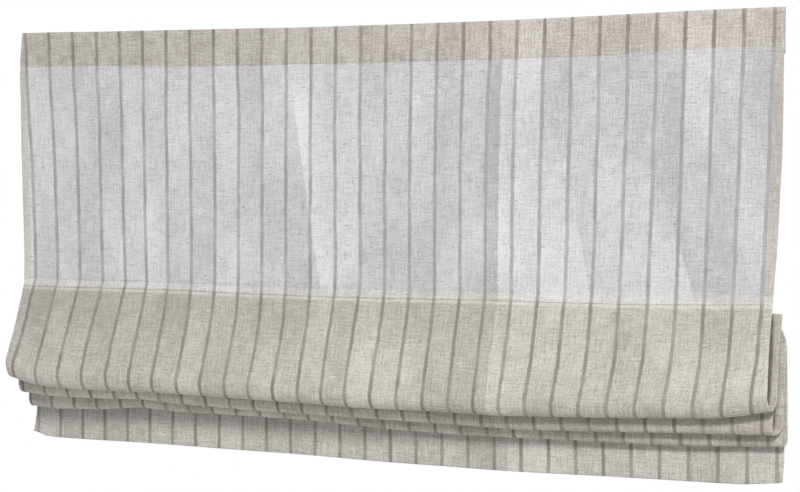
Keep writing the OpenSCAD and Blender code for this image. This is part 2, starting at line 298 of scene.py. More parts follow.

# %% [markdown]
# ## Fine creases in the cloth
# The panel keeps a press line from lying folded and a few slanting creases from hanging.
# The mesh below has their broad swell, but its columns are too wide for their sharp edges.
# So each crease is also a line on the map, with a height for the bump
# and a painted highlight and painted shade on its two sides in the colour.

# %% Crease lines
PRESS_LINE = 668 * MM
PRESS_SLOPE = 0.065
PRESS_FOLD_MORE = 0.9
PRESS_RAGGED = 4 * MM
PRESS_REACH = 13 * MM
PRESS_LIGHT_AND_SHADE = 0.34
CREASE_REACH = 50 * MM
CREASE_EDGE = 1.2 * MM
CREASE_GROWS = 60 * MM
CREASE_END = (POCKET_V - 8 * MM, POCKET_V + 12 * MM)
FOLD_LINES = [
    # Map place across at the top of a crease, its lean, the place along where it starts, and its slope
    (0.3877, 0.167, 0.060, 0.125),
    (0.7570, 0.203, 0.185, -0.080),
    (0.8378, 0.389, 0.130, -0.030),
    (0.8764, 0.330, 0.215, -0.110),
    (0.545, -0.10, 0.150, 0.030),
    (0.165, -0.12, 0.060, 0.035),
    (0.290, 0.05, 0.110, 0.030),
]


def crease(d, shown, reach=CREASE_REACH):
    """Height and tone of a sharp ridge at d = 0, whose two sides turn from and to the light."""
    near = d.maths("EXPONENT", abs(d) * (-1 / reach)) * shown
    return near * reach, near * (between(d, -CREASE_EDGE, CREASE_EDGE) * 2 - 1)


press = across - PRESS_LINE + (yarn(3, 18) - 0.5) * PRESS_RAGGED
ridge, side_tone = crease(press, 1 + in_fold * PRESS_FOLD_MORE)
relief = ridge * PRESS_SLOPE
# The press line also gets a narrow painted shade on its left and painted highlight on its right, on the panel
# only.
crease_light_and_shade = side_tone * PRESS_SLOPE + crease(press, single, PRESS_REACH)[1] * PRESS_LIGHT_AND_SHADE
for start, lean, top, slope in FOLD_LINES:
    shown = window(along, (top, top + CREASE_GROWS), CREASE_END)
    ridge, side_tone = crease(across - start - (along - top) * lean, shown)
    relief = relief + ridge * slope
    crease_light_and_shade = crease_light_and_shade + side_tone * slope
print("creases:", len(FOLD_LINES) + 1)

# %% [markdown]
# ## Light and dark in the weave
# Yarns differ in thickness and colour, and whole stretches between two stripes do too.
# One tone from 0 to 1 sums all of that, so a single blend from shade to ground colours the cloth.
# The folds also drift from left to right, as they turn towards the light, and this drift is painted light:
# the front fold is painted lighter to the right, the folds behind it darker there, and the panel lighter to the
# left.

# %% Weave colour
GAP_SPREAD = 7.31
GAP_ALONG = 5
WARP_TONE = 1.2
WEFT_TONE = 1.1
GRAIN_TONE = 1.5
GAP_TONE = 0.8
PANEL_YARN_LESS = 0.2
PANEL_GAP_MORE = 0.2
BLOTCH_TONE = 0.5
FLANK_LIGHT_AND_SHADE = 0.9
SEAM_SHADE = 0.2
PANEL_PAINTED_LIGHT = 0.42
FOLD_PAINTED_LIGHT = 0.22
BACK_PAINTED_SHADE = 0.26
LOW_PAINTED_SHADE = 0.32

gap = place.maths("FLOOR", place + 0.5)
gap_spot = linen.make("ShaderNodeCombineXYZ", {0: gap * GAP_SPREAD, 1: along * GAP_ALONG})
gap_tone = noise(gap_spot, 1.0, 1.0)
# Painted shade on the front fold just under the seam.
below_seam = window(along, (STITCH_V, STITCH_V + 4 * MM), (STITCH_V + 20 * MM, STITCH_V + 80 * MM))
tone = (warp - 0.5) * WARP_TONE + (weft - 0.5) * WEFT_TONE + (grain - 0.5) * GRAIN_TONE
tone = 0.5 + tone * (1 - single * PANEL_YARN_LESS)
tone = tone + (patch + gap_tone - 1) * (GAP_TONE + single * PANEL_GAP_MORE)
# Crease flanks add painted highlight and painted shade to the tone.
tone = tone + (blotch - 0.5) * BLOTCH_TONE + crease_light_and_shade * FLANK_LIGHT_AND_SHADE
# The panel is painted lighter at the left, and the strip under the seam gets its painted shade.
tone = tone + (0.5 - across) * single * PANEL_PAINTED_LIGHT - below_seam * SEAM_SHADE
# The front fold is painted lighter at the right, and the folds behind it darker at the right.
drift = in_fold * FOLD_PAINTED_LIGHT - past_front * BACK_PAINTED_SHADE - in_low * LOW_PAINTED_SHADE
yarn_and_painted_light = between(tone + (across - 0.5) * drift, 0.0, 1.0, "LINEAR")
weave = mix(yarn_and_painted_light, shade, ground)
print("weave: one tone between shade and ground")

# %% [markdown]
# ## Sewn places
# Where the cloth is doubled it lets less light through: along the side hems and the first rod pocket.
# The crest below the seam catches the light, and its highlight is painted. Masks on the maps tint these places,
# which keeps the whole cloth in one material, and the stripes go over all of them.

# %% Side hems, pocket and crest
SIDE_HEM = 11 * MM
HEM_TINT = 0.9
POCKET_TINT = 0.45
POCKET_TINT_MORE = 0.4
CREST_HIGHLIGHT = 0.55
edge_map = linen.make("ShaderNodeUVMap", {}, uv_map="edge")
side = linen.make("ShaderNodeSeparateXYZ", {0: edge_map}, out=0)
hem = (1 - between(side, SIDE_HEM - 0.6 * MM, SIDE_HEM + 0.4 * MM)) * single
weave = mix(hem * HEM_TINT, weave, mix(yarn_and_painted_light, srgb(186, 179, 171), srgb(228, 223, 216)))
pocket = window(along, (POCKET_V - 1.5 * MM, POCKET_V + MM), (STITCH_V - 2 * MM, STITCH_V + MM))
pocket = pocket * (POCKET_TINT + POCKET_TINT_MORE * between(across, 0.15, 0.45))
weave = mix(pocket, weave, mix(yarn_and_painted_light, srgb(198, 195, 187), srgb(237, 235, 228)))
# Painted highlight along the crest just under the seam.
crest_end = (STITCH_V + 2.5 * MM, STITCH_V + 6 * MM)
crest = window(along, (STITCH_V + 0.4 * MM, STITCH_V + 1.4 * MM), crest_end)
weave = mix(crest * CREST_HIGHLIGHT, weave, srgb(231, 228, 221))
weave = mix(line * fade, weave, stripe)
print("side hem", round(SIDE_HEM / MM), "mm, pocket", round((STITCH_V - POCKET_V) / MM, 1), "mm")

# %% [markdown]
# ## Flecks and the finished linen
# Raw flax has brown flecks: short thick places in the yarn, both ways, and specks of straw.
# They are too many to model, so noise that is cut off near its top scatters them.
# The yarns also give the bump its height, with a little sheen for the loose fibres.

# %% Finished linen
YARN_H = 0.12 * MM
FLECKS = [
    # Cells to a metre across and along, the noise where a fleck starts and is full, and its strength
    (85, 430, 0.63, 0.75, 0.38),
    (430, 80, 0.65, 0.77, 0.32),
    (240, 330, 0.68, 0.78, 0.5),
]
flecks = sum(between(yarn(u, v, 1.0), low, high) * strong for u, v, low, high, strong in FLECKS)
feed(linen_shader, "Base Color", mix(flecks, weave, srgb(138, 123, 98)))
feed(linen_shader, "Roughness", 0.84 + weft * 0.12)
height = relief + (yarn(900, 120) + yarn(120, 900) + warp + weft + grain) * YARN_H
bump = {"Height": height, "Strength": 1.0, "Distance": 1.0}
feed(linen_shader, "Normal", linen.make("ShaderNodeBump", bump))
linen_shader.inputs["Sheen Weight"].default_value = 0.1
linen_shader.inputs["Sheen Roughness"].default_value = 0.6
linen_shader.inputs["Specular IOR Level"].default_value = 0.2
print("linen:", len(striped_linen.node_tree.nodes), "nodes")

# %% [markdown]
# ## Columns across the cloth
# Every stretch of this cloth is a grid: columns across the width and rows along the length.
# Each side is turned back on itself and sewn.
# A separate strip could stand for that hem, but a grid whose first and last columns run round
# the edge leaves no seam to gape.

# %% Columns
CLOTH_T = 0.7 * MM
TURN = 0.85 * MM
EDGE_FLAT = 1.2 * MM
EDGE_ROUND = 0.32 * MM
HALF = CLOTH_W / 2
INNER_COLUMNS = 190


def side_columns():
    """Pairs of place across the cloth and share of the turn to its back, for the left edge."""
    half_hem = HALF - 0.5 * SIDE_HEM
    flat = [(HALF - SIDE_HEM, 1.0), (half_hem, 1.0), (HALF - EDGE_FLAT, 1.0)]
    bend = [(HALF - EDGE_ROUND, 0.8), (HALF, 0.5), (HALF - EDGE_ROUND, 0.2)]
    front = [(HALF - EDGE_FLAT, 0.0), (half_hem, 0.0)]
    return [(-x, back) for x, back in flat + bend + front]


left_side = side_columns()
right_side = [(-x, back) for x, back in reversed(left_side)]
inner = np.linspace(-(HALF - SIDE_HEM), HALF - SIDE_HEM, INNER_COLUMNS)
columns = left_side + [(x, 0.0) for x in inner] + right_side
column_x = np.array([x for x, _ in columns])
column_back = np.array([back for _, back in columns]) * TURN
column_share = (column_x + HALF) / CLOTH_W
column_edge = HALF - np.abs(column_x)
past_edge = np.where(column_x < 0, -column_edge, CLOTH_W + column_edge)
column_u = np.where(column_back > 0.5 * TURN, past_edge, column_x + HALF)


def spread(left, right):
    """Columns between a left and a right edge."""
    return left + column_share * (right - left)


print("columns:", len(columns), "of which", len(left_side), "turn at each side")

# %% [markdown]
# ## A sheet from rows and columns
# A grid operator makes the mesh, and each point is then moved to where its thread hangs.
# A simulation could drape the cloth, but it wouldn't come to rest in the folds of the picture.
# Two maps go along, one for the weave and one for the distance from the side,
# and a Solidify modifier gives the cloth its thickness.

# %% Sheet helper
def add_piece(name, bm, material):
    """A finished mesh as an object with one material."""
    mesh = bpy.data.meshes.new(name)
    bm.to_mesh(mesh)
    bm.free()
    obj = bpy.data.objects.new(name, mesh)
    bpy.context.scene.collection.objects.link(obj)
    obj.data.materials.append(material)
    return obj


def linen_sheet(name, points, u, v, edge=column_edge, thickness=CLOTH_T):
    """Grid of points[row][column] with maps in metres, made into a thin closed cloth."""
    rows, cols = points.shape[:2]
    u = np.broadcast_to(u, (rows, cols))
    v = np.broadcast_to(v if np.ndim(v) == 2 else np.asarray(v)[:, None], (rows, cols))
    bm = bmesh.new()
    bmesh.ops.create_grid(bm, x_segments=cols - 1, y_segments=rows - 1, size=1.0)
    weave_map = bm.loops.layers.uv.new("cloth")
    side_map = bm.loops.layers.uv.new("edge")
    spot = {}
    for vert in bm.verts:
        r = round((1 - vert.co.y) / 2 * (rows - 1))
        c = round((vert.co.x + 1) / 2 * (cols - 1))
        spot[vert] = (r, c)
        vert.co = points[r, c]
    for face in bm.faces:
        face.smooth = True
        for loop in face.loops:
            r, c = spot[loop.vert]
            loop[weave_map].uv = (u[r, c], v[r, c])
            loop[side_map].uv = (edge[c], v[r, c])
    obj = add_piece(name, bm, striped_linen)
    wall = obj.modifiers.new("cloth_thickness", "SOLIDIFY")
    wall.thickness = thickness
    wall.offset = 0.0
    print(name, rows, "rows of", cols)
    return obj


print("cloth is", round(CLOTH_T / MM, 2), "mm thick")

# %% [markdown]
# ## Smooth tables
# Cloth has no corners, yet a few points are the clearest way to write its edges down.
# A curve object could hold them. A short table, rounded by a moving average,
# is simpler and gives a value for every column at once.

# %% Smooth steps and tables
CURVE_STEPS = 401


def smooth_step(x, low, high):
    t = np.clip((x - low) / (high - low), 0, 1)
    return t * t * (3 - 2 * t)


def soften(values, width):
    kernel = np.hanning(2 * width + 3)[1:-1]
    padded = np.pad(values, width, mode="edge")
    return np.convolve(padded, kernel / kernel.sum(), mode="valid")


def eased(pairs, places, width=9):
    """A table in millimetres as a smooth curve, read at the places."""
    table = np.array(pairs, float) * MM
    fine = np.linspace(table[0, 0], table[-1, 0], CURVE_STEPS)
    curve = soften(np.interp(fine, table[:, 0], table[:, 1]), width)
    return np.interp(places, fine, curve)


print("curves are read in", CURVE_STEPS - 1, "steps")

# %% [markdown]
# ## Where the cloth is pulled
# The cloth was sewn a little askew and is drawn in at the seam, so its sides aren't straight
# and its stripes lean. Short tables hold that: the edges at each height, the rise of the
# top edge towards its ends, and how far the stripes stand from an even spacing.

# %% Tables of the pull
LEFT_EDGE = [(-320, -496.2), (-300, -496.4), (-269, -498.2), (-206, -501), (-142, -501.8),
             (-79, -500.4), (-30, -501), (0, -497.5), (10, -497)]
RIGHT_EDGE = [(-320, 488.3), (-287, 490.4), (-255, 492.2), (-201, 494), (-148, 497.2),
              (-95, 499.2), (-42, 500.2), (10, 500.5)]
TOP_RISE = [(-500, 5.6), (-440, 5.0), (-380, 3.9), (-233, 2.2), (-93, 0.4), (40, 0.0),
            (167, 0.2), (289, 1.6), (405, 3.8), (500, 4.4)]
SHIFT_TOP = [(-500, -5.4), (-454, -2.9), (-387, 2.2), (-300, 3.8), (-84, 6.0), (50, 4.6),
             (185, 3.6), (320, 2.8), (500, 2.0)]
SHIFT_SEAM = [(-500, 8.2), (-420, 9.8), (-353, 12.6), (-320, 10.4), (-280, 6.2), (-185, 6.0),
              (-84, 4.8), (50, 1.9), (118, 0.0), (185, -3.2), (286, -5.6), (387, -8), (500, -11.6)]
SEAM_DROP = 303 * MM
top_rise = eased(TOP_RISE, column_x)
shift_top = eased(SHIFT_TOP, column_x)
shift_seam = eased(SHIFT_SEAM, column_x, 5)
print("seam from", LEFT_EDGE[0][1], "to", RIGHT_EDGE[0][1], "mm")

# %% [markdown]
# ## Reading the pull at one height
# Each row of the grid needs four things at its drop below the top edge: where its columns stand,
# how far its ends rise, and its map both ways. Moving the points alone would leave the stripes
# even, so the map takes the pull back out and the stripes lean with the cloth.

# %% Row helpers
def hung_x(drop):
    """Where the columns stand between the two edges."""
    return spread(eased(LEFT_EDGE, drop), eased(RIGHT_EDGE, drop))


def rise(drop):
    """The ends of the top edge stand higher. Below the band the rows are level again."""
    return top_rise * (1 - smooth_step(-drop, 0, BAND - 3 * MM))


def stripe_map(xs, shift):
    """The map across for columns at xs: even in the cloth, but shifted where it hangs."""
    return column_u + xs - column_x - shift


def hung_shift(drop):
    """How far the stripes stand from even spacing: the top's table turning into the seam's."""
    return shift_top + (shift_seam - shift_top) * min(1.0, -drop / SEAM_DROP)


def length_map(drop):
    """The map along, in which the band's lower line keeps the curve of the top edge."""
    return -drop - rise(drop) + top_rise * (1 + drop / SEAM_DROP)


middle_x = hung_x(-0.5 * SEAM_DROP)
print("halfway down the cloth is", round(float(middle_x.max() - middle_x.min()), 4), "m wide")

# %% [markdown]
# ## Swell of the panel
# A linen panel is never flat: it swells along its creases and bellies a little between them.
# Sculpting that by hand can't be repeated. Ridges that fall away on both sides, two long waves
# and one belly, added to the panel's depth, catch the light as the real cloth does.

# %% Panel relief
PRESS_RIDGE = 1.4
PRESS_STAYS = 0.4
PRESS_X = 166
PRESS_WIDTH = 30
BELLY = 1.8
BELLY_SPACING = 155
BELLY_START = 1.1
BELLY_DROP = 300
SWELL_GROWS = (44, 90)
SWELL_ENDS = (270, 312)
SEAM_HOLD = 0.75
PANEL_WAVES = [
    # In millimetres: height, and the spacing of one radian across and along, then the start in radians
    (1.5, 71, 210, 0.6),
    (1.1, 38, -95, 2.0),
]
PANEL_CREASES = [
    # In millimetres: height, place across, lean, drop there, reach, drops where it starts and is full
    (1.4, -101.8, 0.165, 90, 40, 60, 140),
    (-0.9, 343.4, 0.35, 150, 35, 130, 220),
]


def waves(table, x, s):
    """Sine waves that run across the cloth at x and slant along its length s."""
    return sum(tall * np.sin(x / wide + s / long + start) for tall, wide, long, start in table)


def panel_relief(x, drop):
    """How far the panel stands towards the room, in metres. The sums inside are in millimetres."""
    x = np.asarray(x) / MM
    z = drop / MM
    ridge = PRESS_RIDGE * np.exp(-np.abs(x - PRESS_X) / PRESS_WIDTH)
    belly = BELLY * math.sin(math.pi * min(1, -z / BELLY_DROP))
    swell = waves(PANEL_WAVES, x, z) + belly * np.sin(x / BELLY_SPACING + BELLY_START)
    for tall, middle, lean, level, reach, begin, full in PANEL_CREASES:
        away = np.abs(x - middle + (z + level) * lean)
        swell = swell + tall * np.exp(-away / reach) * smooth_step(-z, begin, full)
    fade = smooth_step(-z, *SWELL_GROWS) * (1 - SEAM_HOLD * smooth_step(-z, *SWELL_ENDS))
    return (ridge * (PRESS_STAYS + (1 - PRESS_STAYS) * fade) + swell * fade) * MM


swing = panel_relief(column_x, -0.5 * SEAM_DROP)
print("panel swells by", round(float(swing.max() - swing.min()) / MM, 1), "mm halfway down")

# %% [markdown]
# ## The top band
# The top of the cloth is folded over to the back and holds the loop tape.
# It could be one sheet with the panel. It is a separate piece here because it stays on the rail
# when the blind rises, while the panel below it gathers.

# %% Top band
BAND_GAP = 0.8 * MM
HEM_BULK = 1.9 * MM
HEM_BULK_ENDS = (HALF - 15 * MM, HALF - 11 * MM)
ROUND_OVER = 0.4 * MM
TOP_INSET = 0.35 * MM
BACK_ROWS = 8
FRONT_ROWS = 10


def band_rows():
    """Rows from the back's lower edge over the top and down the front: share behind, and drop."""
    back = [(1.0, -BAND + i * BAND / BACK_ROWS) for i in range(BACK_ROWS)]
    over = []
    for degrees in (0, 45, 90, 135, 180):
        a = math.radians(degrees)
        over.append((0.5 + 0.5 * math.cos(a), -ROUND_OVER * (1 - math.sin(a))))
    front = [(0.0, -BAND * i / FRONT_ROWS) for i in range(1, FRONT_ROWS + 1)]
    return back + over + front


rows = band_rows()
layer_gap = BAND_GAP + HEM_BULK * smooth_step(np.abs(column_x), *HEM_BULK_ENDS)
points = np.zeros((len(rows), len(columns), 3))
band_u = np.zeros(points.shape[:2])
band_v = np.zeros(points.shape[:2])
for r, (behind, drop) in enumerate(rows):
    ripple = panel_relief(column_x, drop) * (1 - behind) * smooth_step(-drop, 0, BAND)
    points[r, :, 0] = hung_x(drop)
    points[r, :, 1] = panel_y + behind * layer_gap + (1 - 2 * behind) * column_back - ripple
    points[r, :, 2] = cloth_top + drop - TOP_INSET + rise(drop)
    band_u[r] = stripe_map(points[r, :, 0], hung_shift(drop))
    band_v[r] = length_map(drop) - (BAND if behind >= 0.5 else 0)
top_band = linen_sheet("top_band", points, band_u, band_v)
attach(top_band, "head")

# %% [markdown]
# ## The flat panel
# Below the band the cloth hangs as one layer down to the first rod pocket.
# On the real blind this stretch folds up as the blind rises. A fold that grows can't be shown by
# one rigid stack.

# %% Flat panel
PANEL_ROWS = 46
END_ROW = 0.3 * MM
LAP = 2 * MM
LAP_PROUD = 0.2 * MM
LAP_FADE = 6 * MM
FLUTTER = 0.7 * MM
FLUTTER_WAVE = 0.041
FLUTTER_FROM = 0.94 * HALF

pocket_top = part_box("folded_panel")[1].z
levels = np.linspace(-BAND + LAP, pocket_top - cloth_top, PANEL_ROWS)
drops = np.concatenate([levels[:1], levels[:1] - END_ROW, levels[1:-1], levels[-1:] + END_ROW, levels[-1:]])
side_part = smooth_step(np.abs(column_x), FLUTTER_FROM, HALF)
points = np.zeros((len(drops), len(columns), 3))
panel_u = np.zeros(points.shape[:2])
for r, drop in enumerate(drops):
    proud = LAP_PROUD * (1 - smooth_step(-drop, BAND, BAND + LAP_FADE))
    points[r, :, 0] = hung_x(drop) + FLUTTER * math.sin(drop / FLUTTER_WAVE) * side_part
    points[r, :, 1] = panel_y + column_back - panel_relief(column_x, drop) - proud
    points[r, :, 2] = cloth_top + drop + rise(drop)
    panel_u[r] = stripe_map(points[r, :, 0], hung_shift(drop))
panel_v = np.array([length_map(drop) for drop in drops])
upper_cloth = linen_sheet("upper_cloth", points, panel_u, panel_v)
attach(upper_cloth, "head")

# %% [markdown]
# ## The path of the gathered cloth
# Seen from the side, the gathered cloth runs over rods and hangs in loops like a belt on wheels.
# Each fold could be drawn by hand, but then no two columns would match.
# A wheel turned one way is a hanging fold, and a wheel turned the other way is a rod.
# Straight runs touch the wheels, so a list of wheels gives the whole path at any place across.

# %% Headings and turns
def heading(p, q):
    """The direction of the run from one wheel to the next, each given as (y, z, radius, stretch)."""
    dy, dz = q[0] - p[0], q[1] - p[1]
    return math.atan2(dz, dy) + math.acos((q[2] - p[2]) / math.hypot(dy, dz)) - math.pi / 2


def wheel_turn(a, b, radius):
    """The angle from heading a to b. A rod turns back, unless the cloth only grazes it."""
    turn = (b - a) % (2 * math.pi)
    if radius < 0 and turn > 0.5 * math.pi:
        turn -= 2 * math.pi
    return turn


def rod_axis(k):
    low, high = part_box(f"rod_{k}")
    return (low.y + high.y) / 2, (low.z + high.z) / 2


rods = [rod_axis(k) for k in (1, 2, 3, 4)]
print("first rod at", [round(v / MM, 1) for v in rods[0]], "mm")

# %% Belt over the wheels
def belt(stops, steps):
    """Points, backward directions and stages along the wheels, with steps for each wheel and run."""
    path, back, stage = [], [], []
    for i, (y, z, r, stretch) in enumerate(stops):
        last = i == len(stops) - 1
        a = heading(stops[max(i - 1, 0)], stops[max(i, 1)])
        b = a if i == 0 or last else heading(stops[i], stops[i + 1])
        turn = 0.0 if i == 0 or last else wheel_turn(a, b, r)
        wheel, run = steps[i]
        for j in range(wheel + 1):
            n = a + turn * j / max(wheel, 1) + math.pi / 2
            dz = -r * math.sin(n)
            path.append((y - r * math.cos(n), z + dz * (stretch if dz < 0 else 1.0)))
            back.append((math.cos(n), math.sin(n)))
            stage.append(i - 0.25 + 0.5 * j / max(wheel, 1))
        if last:
            break
        n = b + math.pi / 2
        begin = path[-1]
        to_y, to_z, to_r, _ = stops[i + 1]
        end = (to_y - to_r * math.cos(n), to_z - to_r * math.sin(n))
        for j in range(1, run):
            t = j / run
            path.append((begin[0] + (end[0] - begin[0]) * t, begin[1] + (end[1] - begin[1]) * t))
            back.append((math.cos(n), math.sin(n)))
            stage.append(i + 0.25 + 0.5 * t)
    return np.array(path), np.array(back), np.array(stage)


print("belt ready for", len(rods), "rods")

# %% [markdown]
# ## Heights of the folds
# Three folds hang in front of the hem. Their lower edges droop towards the middle,
# and their corners lift, because the cloth is stiff at its turned edges.
# Short tables along each lower edge keep that droop, where a straight edge would look stamped.

# %% Lower edges across the width
FOLD_BOTTOMS = [
    # Place across and height below the top edge, in millimetres, for each fold's lowest line
    [(-500, -426), (-478, -432.5), (-455, -436), (-400, -438), (-280, -438), (-120, -441), (0, -444),
     (90, -444), (180, -445), (330, -441), (440, -436), (475, -431), (500, -426)],
    [(-500, -447), (-457, -451), (-400, -451), (-320, -449), (-260, -453), (-134, -456), (-16, -458),
     (78, -459), (192, -462), (320, -458), (425, -455), (500, -453)],
    [(-500, -466), (-461, -468), (-388, -466), (-336, -461), (-285, -464), (-146, -465), (-75, -466),
     (20, -471), (112, -473), (290, -472), (397, -471), (500, -467)],
]
HEM_BOTTOM = [(-500, -499.5), (-488, -503), (-474, -506.6), (-318, -507), (-245, -507.6), (-103, -509),
              (31, -511.6), (160, -513), (283, -512), (402, -511.3), (459, -511), (492, -508), (500, -507)]
CORNER_LINE = [(-500, -305.4), (-300, -305.6), (-248, -306), (-67, -309), (142, -307.5), (313, -308.4),
               (474, -305.8), (500, -305.6)]
bottoms = [eased(pairs, column_x, 6) for pairs in FOLD_BOTTOMS]
hem_low = cloth_top + eased(HEM_BOTTOM, column_x, 5)
corner = eased(CORNER_LINE, column_x, 6)
print("fold heights in the middle:", [round(float(b[len(columns) // 2]) / MM) for b in bottoms], "mm")

# %% [markdown]
# ## Depth of the folds
# The front fold stands further out at the left, where it is also rounder.
# One depth for the whole width would be simpler, but the two ends of the picture differ.
# The folds behind nest with a little air between them, so their places follow
# from the front one's reach and from their own radii.

# %% Radii and centres
REACH = (46, 26)
REACH_WAVE = 1.6
REACH_TURN = 17
FOLD_RADII = [(11, 7), (9, 6), (7, 5)]
FOLD_GAP = 1.7 * MM
STRETCH = [1.7, 1.5, 1.4]

reach = REACH[0] + (REACH[1] - REACH[0]) * column_share
reach = (reach + REACH_WAVE * np.sin(column_share * REACH_TURN) * (1 - column_share)) * MM
radii = [(left + (right - left) * column_share) * MM for left, right in FOLD_RADII]
centres = [reach - radii[0]]
for k in (1, 2):
    centres.append(centres[k - 1] - radii[k - 1] - radii[k] - FOLD_GAP)
print("front fold stands out", [round(v / MM) for v in (reach[0], reach[-1])], "mm at left and right")

# %% [markdown]
# ## Wheels of one column
# From the first pocket the cloth turns out, round three folds and back over three rods.
# Then it turns down to the hem and round the weight bar, which sits in a flat sleeve.
# Each column gets its own wheels, so the folds can droop and still meet every rod.

# %% Wheels of one column
POCKET_BEND = 3 * MM
ROD_BACK = 3.6 * MM
APEX_R = 1.2 * MM
HEM_GAP = 2.2 * MM
SLEEVE = 5.8 * MM
SLEEVE_CORNER = 1.2 * MM
LIP_R = 1.6 * MM
LIP_CLEAR = 0.4 * MM
TAIL_IN = 1.0 * MM
TAIL_UP = 6 * MM
bar_low, bar_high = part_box("bar_cap_left")
bar_top = bar_high.z
hem_y = (bar_low.y + bar_high.y) / 2 - SLEEVE / 2


def fold_stops(c):
    """Wheels of column c as (y, z, signed radius, stretch of the lower half)."""
    stops = [(panel_y, pocket_top, 0.0, 1), (panel_y - POCKET_BEND, cloth_top + corner[c], -POCKET_BEND, 1)]
    for k, (rod_y, rod_z) in enumerate(rods[1:]):
        r = radii[k][c]
        fold_z = cloth_top + bottoms[k][c] + r * STRETCH[k]
        stops.append((panel_y - centres[k][c], fold_z, r, STRETCH[k]))
        stops.append((rod_y - ROD_BACK - APEX_R, rod_z, -APEX_R, 1))
    turn_r = radii[2][c] + HEM_GAP
    corner_z = hem_low[c] + CLOTH_T / 2 + SLEEVE_CORNER
    stops.append((hem_y - turn_r, fold_z, -turn_r, 1))
    stops.append((hem_y + SLEEVE_CORNER, corner_z, SLEEVE_CORNER, 1))
    stops.append((hem_y + SLEEVE - SLEEVE_CORNER, corner_z, SLEEVE_CORNER, 1))
    stops.append((hem_y + SLEEVE - LIP_R, bar_top + LIP_CLEAR, LIP_R, 1))
    stops.append((hem_y + TAIL_IN, bar_top + TAIL_UP, 0.0, 1))
    return stops


print("one column turns round", len(fold_stops(0)) - 2, "wheels")

# %% [markdown]
# ## One path for every column
# All columns take the same number of steps, so that their points join up into rows.
# One number of steps for every stretch would do, but tight bends need short steps
# and straight runs don't.

# %% Loft the gathered cloth
# Steps round each wheel and along the run after it: pocket, three folds and rods, hem and sleeve
STEPS = [(0, 4), (4, 14)] + [(14, 11), (7, 11)] * 3 + [(0, 12), (4, 4), (4, 8), (4, 5), (0, 0)]
made = [belt(fold_stops(c), STEPS) for c in range(len(columns))]
path = np.array([m[0] for m in made]).transpose(1, 0, 2)
back = np.array([m[1] for m in made]).transpose(1, 0, 2)
stage = made[0][2]
row_count = len(stage)
row_steps = np.hypot(*np.diff(path[:, len(columns) // 2], axis=0).T)
fold_v = np.concatenate([[0], np.cumsum(row_steps)]) + (cloth_top - pocket_top)
fold_length = fold_v[-1] - fold_v[0]
print("gathered cloth:", row_count, "rows,", round(fold_length, 3), "m long")

# %% [markdown]
# ## Widths of the gathered cloth
# No two folds end at the same place: the layers slip sideways as they gather.
# Straight sides would hide every layer but the first. So the edges are a table by stage,
# which counts the wheels along the path.

# %% Edges by stage
FOLD_EDGES = [
    # Stage, with the left and the right edge in millimetres
    (0, -496.2, 488.3), (1, -497.4, 488.3), (1.5, -494, 489.3), (1.75, -492.4, 491), (2, -491, 494),
    (2.25, -490, 497.5), (3, -490, 498.3), (3.5, -490, 496), (3.75, -489.5, 491.5), (4, -489.5, 494),
    (4.25, -489, 500), (4.6, -489, 502.5), (4.705, -489, 501.5), (4.75, -489, 497.5), (5, -489, 493),
    (5.25, -489, 496.5), (5.3, -489, 500), (5.75, -488, 499), (6, -487.5, 499.5), (6.25, -487, 501.5),
    (6.8, -487, 501), (7, -487, 498), (7.3, -486, 499), (8, -486, 497.5), (8.5, -489, 496.8),
    (8.75, -493, 495), (9, -495, 493), (10, -494, 490), (11, -491, 487), (12, -491, 487),
]
edges = np.array(FOLD_EDGES)
left_edge = np.interp(stage, edges[:, 0], edges[:, 1]) * MM
right_edge = np.interp(stage, edges[:, 0], edges[:, 2]) * MM
print("widest row:", round(float((right_edge - left_edge).max()), 4), "m")

# %% [markdown]
# ## Stripes on the folds
# The stripes go on from the seam and straighten out towards the hem,
# and two stretches of the front fold are pulled sideways on the way.
# Moving the points would move the edges too, so only the map across is shifted.

# %% Stripe shifts on the folds
# A pair is where a change starts and is full: places across in metres, then shares of the length
PULL_RIGHT = 4 * MM
RIGHT_FROM = (-0.33, -0.24)
RIGHT_TO = (-0.08, 0.0)
PULL_LEFT = 5 * MM
LEFT_FROM = (0.1, 0.28)
FRONT_GROWS = (0.0, 0.05)
FRONT_FADES = (0.2, 0.4)
LEFT_GROWS = (0.07, 0.14)
LOW_SHIFT = -2 * MM
LOW_SHIFT_MORE = 4.4 * MM
LOW_GROWS = (0.6, 0.85)
pulled_right = PULL_RIGHT * smooth_step(column_x, *RIGHT_FROM) * (1 - smooth_step(column_x, *RIGHT_TO))
pulled_left = PULL_LEFT * smooth_step(column_x, *LEFT_FROM)


def fold_shift(t):
    """How far the stripes stand from even spacing at share t of the gathered length."""
    front = smooth_step(t, *FRONT_GROWS) * (1 - smooth_step(t, *FRONT_FADES))
    low_shift = LOW_SHIFT + LOW_SHIFT_MORE * smooth_step(t, *LOW_GROWS)
    pulled = pulled_right - smooth_step(t, *LEFT_GROWS) * pulled_left
    return shift_seam * (1 - t) + low_shift * t + front * pulled


print("front fold is pulled", round(PULL_RIGHT / MM), "mm right and", round(PULL_LEFT / MM), "mm left")

# %% [markdown]
# ## Waves and mesh of the gathered cloth
# The front of the first fold is free and waves the most. The folds behind are squeezed flat.
# A push along each point's own backward direction makes the waves,
# because a push along one axis would crush the rounded parts.

# %% Gathered cloth
FRONT_SHARE = 0.15
PRESS_SHARE = 0.2
FOLD_PRESS_X = 163
FOLD_PRESS_WIDTH = 8
FOLD_RIDGE = 0.4
FRONT_RIDGE = 0.9
FRONT_WAVES = [(1.5, 47, 120, 0.0), (1.0, 29, -80, 1.0)]
FOLD_WAVES = [(0.25, 33, 61, 0.0)]
BACK_LOOSE = 0.6
PANEL_HOLD = 1.2
SEAM_STEP = 0.1 * MM

